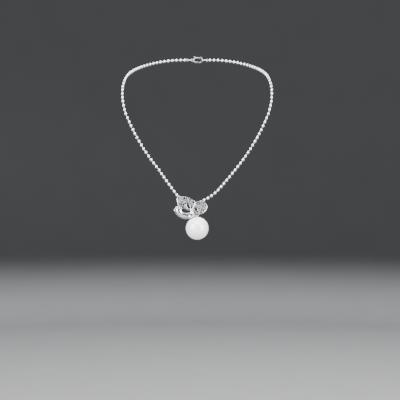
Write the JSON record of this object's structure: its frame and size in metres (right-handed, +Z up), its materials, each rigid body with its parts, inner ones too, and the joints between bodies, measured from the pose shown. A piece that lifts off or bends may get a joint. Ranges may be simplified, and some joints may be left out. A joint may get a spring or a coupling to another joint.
{
  "type": "pendant necklace",
  "caption": "Ball chain necklace with a lobster clasp, carrying an openwork butterfly pendant set with small clear stones and a hanging pearl drop.",
  "frame": {"origin": "middle of the clasp at the nape of the neck, in the line of the chain", "axes": "+Z up as worn, -Y towards the front that the pendant faces, +X towards the right of someone looking at the front"},
  "size_m": [0.1192, 0.0783, 0.1458],
  "materials": {
    "polished_silver": "bright polished rhodium-coloured plate",
    "spring_steel": "drawn wire",
    "crystal": "clear faceted stone",
    "pearl": "white nacre with a soft gloss"
  },
  "bodies": {
    "nape_chain": {"nape_beads_left": "polished_silver", "nape_beads_right": "polished_silver", "nape_links_left": "polished_silver", "nape_links_right": "polished_silver", "clasp_eye_left": "polished_silver", "clasp_eye_right": "polished_silver", "clasp_tail_ring": "polished_silver", "clasp_hook_ring": "polished_silver", "clasp_body": "polished_silver", "clasp_pin": "spring_steel", "clasp_spring": "spring_steel"},
    "lever": {"clasp_lever": "polished_silver"},
    "upper_drape": {"upper_beads_left": "polished_silver", "upper_beads_right": "polished_silver", "upper_links_left": "polished_silver", "upper_links_right": "polished_silver"},
    "middle_drape": {"middle_beads_left": "polished_silver", "middle_beads_right": "polished_silver", "middle_links_left": "polished_silver", "middle_links_right": "polished_silver"},
    "lower_drape": {"lower_beads_left": "polished_silver", "lower_beads_right": "polished_silver", "lower_links_left": "polished_silver", "lower_links_right": "polished_silver", "pendant_eye_left": "polished_silver", "pendant_eye_right": "polished_silver"},
    "butterfly": {"pendant_staple_left": "polished_silver", "pendant_staple_right": "polished_silver", "upper_left_wing": "polished_silver", "lower_left_wing": "polished_silver", "right_wing": "polished_silver", "butterfly_body": "polished_silver", "wing_eyelet": "polished_silver", "upper_left_stones": "crystal", "lower_left_stones": "crystal", "right_stones": "crystal", "pearl_staple": "polished_silver"},
    "pearl_link": {"pearl_ring": "polished_silver"},
    "pearl_drop": {"pearl_cap": "polished_silver", "pearl": "pearl"}
  },
  "joints": [
    {"name": "upper_drape_swing", "type": "hinge", "parent": "nape_chain", "child": "upper_drape", "pos_m": [0, -0.06699, -0.04492], "axis": [1, 0, 0], "range_deg": [-20, 20]},
    {"name": "middle_drape_swing", "type": "hinge", "parent": "upper_drape", "child": "middle_drape", "pos_m": [0, -0.06699, -0.0663], "axis": [1, 0, 0], "range_deg": [-20, 20]},
    {"name": "lower_drape_swing", "type": "hinge", "parent": "middle_drape", "child": "lower_drape", "pos_m": [0, -0.06699, -0.0859], "axis": [1, 0, 0], "range_deg": [-20, 20]},
    {"name": "butterfly_rock", "type": "hinge", "parent": "lower_drape", "child": "butterfly", "pos_m": [-0.01443, -0.06699, -0.10988], "axis": [0.9777, 0, -0.21], "range_deg": [-12, 45]},
    {"name": "pearl_link_sway", "type": "hinge", "parent": "butterfly", "child": "pearl_link", "pos_m": [0.0001, -0.06689, -0.12224], "axis": [0, 1, 0], "range_deg": [-30, 5]},
    {"name": "pearl_swing", "type": "hinge", "parent": "pearl_link", "child": "pearl_drop", "pos_m": [0.0001, -0.06689, -0.12352], "axis": [1, 0, 0], "range_deg": [-25, 45]},
    {"name": "clasp_lever_open", "type": "hinge", "parent": "nape_chain", "child": "lever", "pos_m": [-0.0017, 0, 0.00175], "axis": [0, 1, 0], "range_deg": [0, 22], "stiffness_Nm_per_rad": 0.002, "springref_deg": -17.19}
  ]
}
